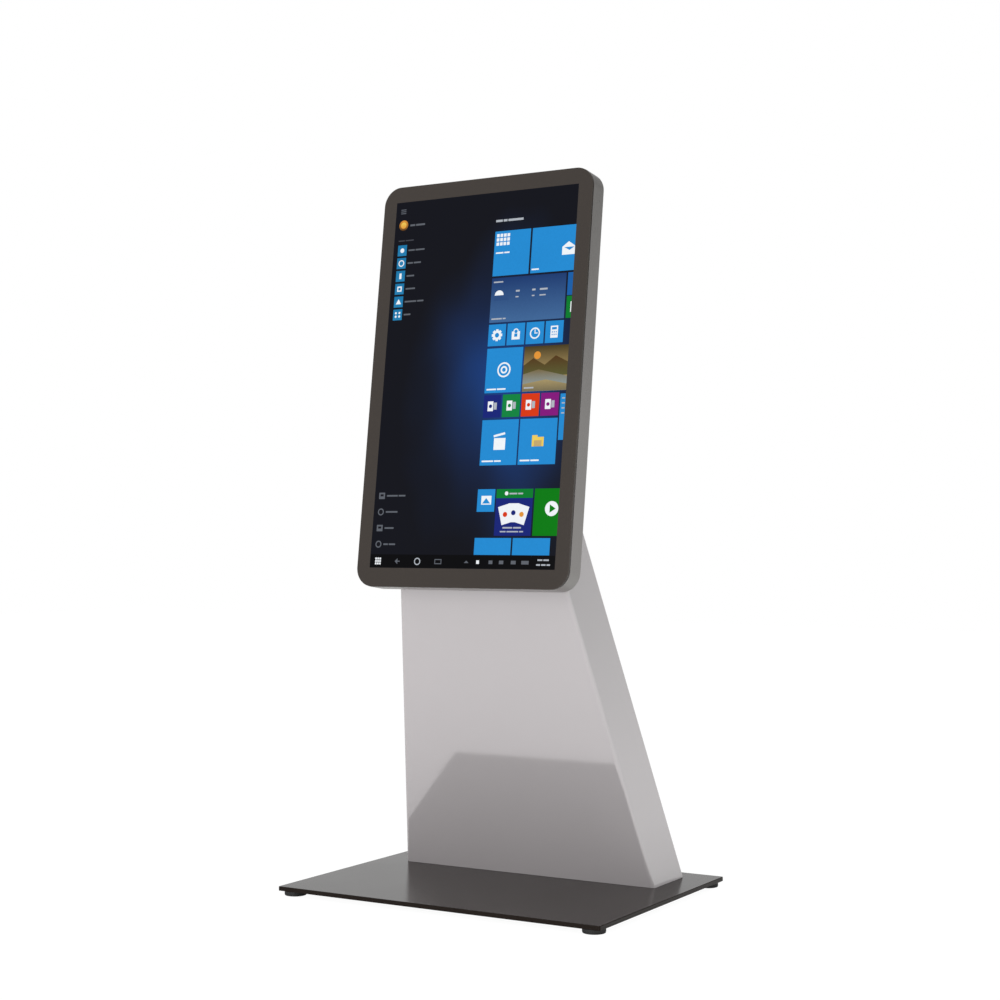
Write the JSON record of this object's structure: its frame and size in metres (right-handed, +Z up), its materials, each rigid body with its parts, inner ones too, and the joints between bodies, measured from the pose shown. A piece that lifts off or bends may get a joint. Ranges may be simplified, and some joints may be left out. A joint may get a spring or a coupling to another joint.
{
  "type": "touchscreen kiosk",
  "caption": "Free-standing kiosk: portrait touch display tilted back on a leaning, tapering sheet-metal column with a lockable rear door, on a flat base plate with levelling feet.",
  "frame": {"origin": "on the floor under the middle of the base plate, feet fully screwed in", "axes": "+Z up; the display faces -Y; seen from the front, +X is on the right"},
  "size_m": [0.669, 0.506, 1.3274],
  "materials": {
    "column_paint": "gloss silver-grey lacquer",
    "base_paint": "dark grey semi-gloss powder coat",
    "frame_metal": "satin silver-grey",
    "front_glass": "clear glass with a dark grey printed border",
    "cover_paint": "dark grey fine-texture powder coat",
    "foot_plastic": "black moulded nylon",
    "zinc_steel": "zinc plated",
    "screw_steel": "zinc plated",
    "hinge_steel": "silver-grey lacquer",
    "lock_chrome": "polished",
    "case_metal": "black anodised",
    "black_plastic": "black moulded",
    "blade_brass": "plain",
    "display_panel": "dark display module",
    "touch_film": "thin film",
    "tape_foam": "black foam tape",
    "circuit_board": "green solder mask",
    "cable_rubber": "black jacket"
  },
  "bodies": {
    "kiosk": {"backlight_chassis": "display_panel", "base_plate": "base_paint", "board_screws": "screw_steel", "board_standoffs": "zinc_steel", "cable_clips": "black_plastic", "cable_grommet": "cable_rubber", "column_flange": "zinc_steel", "column_shell": "column_paint", "cover_glass": "front_glass", "display_cable": "cable_rubber", "driver_board": "circuit_board", "equipment_plate": "zinc_steel", "equipment_screws": "screw_steel", "fan_frame": "black_plastic", "fan_screws": "screw_steel", "flange_bolts": "screw_steel", "glass_tape": "tape_foam", "head_frame": "frame_metal", "head_mount_plate": "zinc_steel", "hinge_leaves_panel": "hinge_steel", "hinge_pins": "hinge_steel", "inlet_blades": "blade_brass", "inlet_lead": "cable_rubber", "lcd_cell": "display_panel", "lock_keeper": "zinc_steel", "mains_inlet": "black_plastic", "mini_pc": "case_metal", "mount_bolts": "screw_steel", "mount_rails": "zinc_steel", "mount_spacers": "zinc_steel", "neck_plate": "zinc_steel", "panel_lugs": "zinc_steel", "panel_screws": "screw_steel", "power_cable": "cable_rubber", "power_supply": "case_metal", "rear_cover": "cover_paint", "rear_cover_screws": "screw_steel", "rear_panel": "column_paint", "spine_left": "zinc_steel", "spine_right": "zinc_steel", "touch_board": "circuit_board", "touch_ribbon": "touch_film", "touch_sensor": "touch_film"},
    "door": {"service_door": "column_paint", "hinge_leaves_door": "hinge_steel", "lock_barrel": "lock_chrome", "lock_nut": "lock_chrome"},
    "lock": {"lock_plug": "lock_chrome", "lock_cam": "lock_chrome"},
    "fan": {"fan_rotor": "black_plastic"},
    "rocker": {"power_rocker": "black_plastic"},
    "foot_front_left": {"foot_pad_front_left": "foot_plastic", "foot_stud_front_left": "zinc_steel"},
    "foot_front_right": {"foot_pad_front_right": "foot_plastic", "foot_stud_front_right": "zinc_steel"},
    "foot_back_left": {"foot_pad_back_left": "foot_plastic", "foot_stud_back_left": "zinc_steel"},
    "foot_back_right": {"foot_pad_back_right": "foot_plastic", "foot_stud_back_right": "zinc_steel"}
  },
  "joints": [
    {"name": "door_swing", "type": "hinge", "parent": "kiosk", "child": "door", "pos_m": [-0.146, 0.11693, 0.3439], "axis": [0, -0.2862, 0.9582], "range_deg": [0, 110]},
    {"name": "lock_turn", "type": "hinge", "parent": "door", "child": "lock", "pos_m": [0.12, 0.1132, 0.34278], "axis": [0, 0.9582, 0.2862], "range_deg": [0, 90]},
    {"name": "fan_spin", "type": "hinge", "parent": "kiosk", "child": "fan", "pos_m": [0, -0.02233, 0.74585], "axis": [0, 0.9582, 0.2862], "continuous": true},
    {"name": "power_switch", "type": "hinge", "parent": "kiosk", "child": "rocker", "pos_m": [0.014, 0.19561, 0.05638], "axis": [1, 0, 0], "range_deg": [-16, 0]},
    {"name": "foot_height_front_left", "type": "slide", "parent": "kiosk", "child": "foot_front_left", "axis": [0, 0, -1], "range_m": [0, 0.003]},
    {"name": "foot_height_front_right", "type": "slide", "parent": "kiosk", "child": "foot_front_right", "axis": [0, 0, -1], "range_m": [0, 0.003]},
    {"name": "foot_height_back_left", "type": "slide", "parent": "kiosk", "child": "foot_back_left", "axis": [0, 0, -1], "range_m": [0, 0.003]},
    {"name": "foot_height_back_right", "type": "slide", "parent": "kiosk", "child": "foot_back_right", "axis": [0, 0, -1], "range_m": [0, 0.003]}
  ]
}
